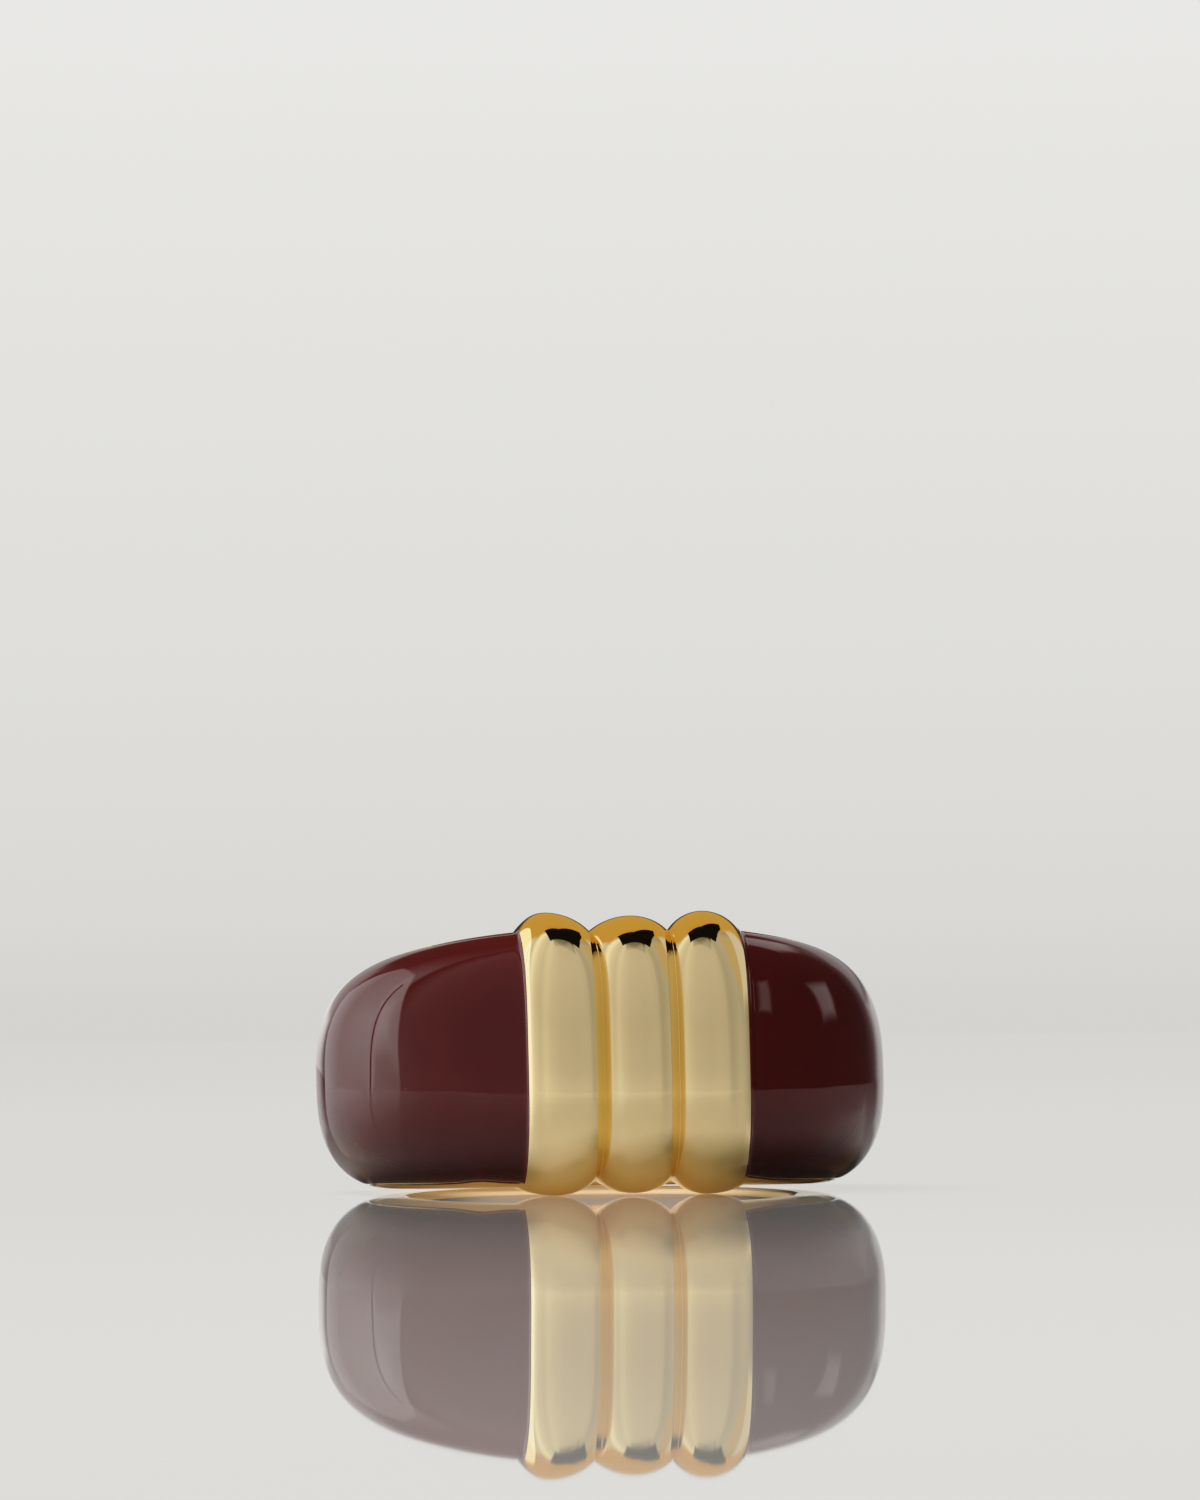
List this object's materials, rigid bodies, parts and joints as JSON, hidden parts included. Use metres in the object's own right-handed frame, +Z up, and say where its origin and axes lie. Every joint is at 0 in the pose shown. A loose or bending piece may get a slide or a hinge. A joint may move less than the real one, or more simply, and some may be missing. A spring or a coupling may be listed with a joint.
{
  "type": "statement ring",
  "caption": "Chunky domed statement ring in gold, with half-round ribs across its front and a glossy burgundy enamel panel on each side of them.",
  "frame": {"origin": "on the surface that the ring lies on, under the middle of the ring's box", "axes": "+Z up off the surface, along the ring's width; +X across the ring, over its enamel panels; -Y towards its ribbed front"},
  "size_m": [0.026, 0.0246, 0.0126],
  "materials": {
    "gold": "high polish, pale yellow gold plate",
    "enamel": "glossy fired enamel, deep burgundy"
  },
  "bodies": {
    "root": {"ring_body": "gold", "enamel_left": "enamel", "enamel_right": "enamel"}
  },
  "joints": []
}
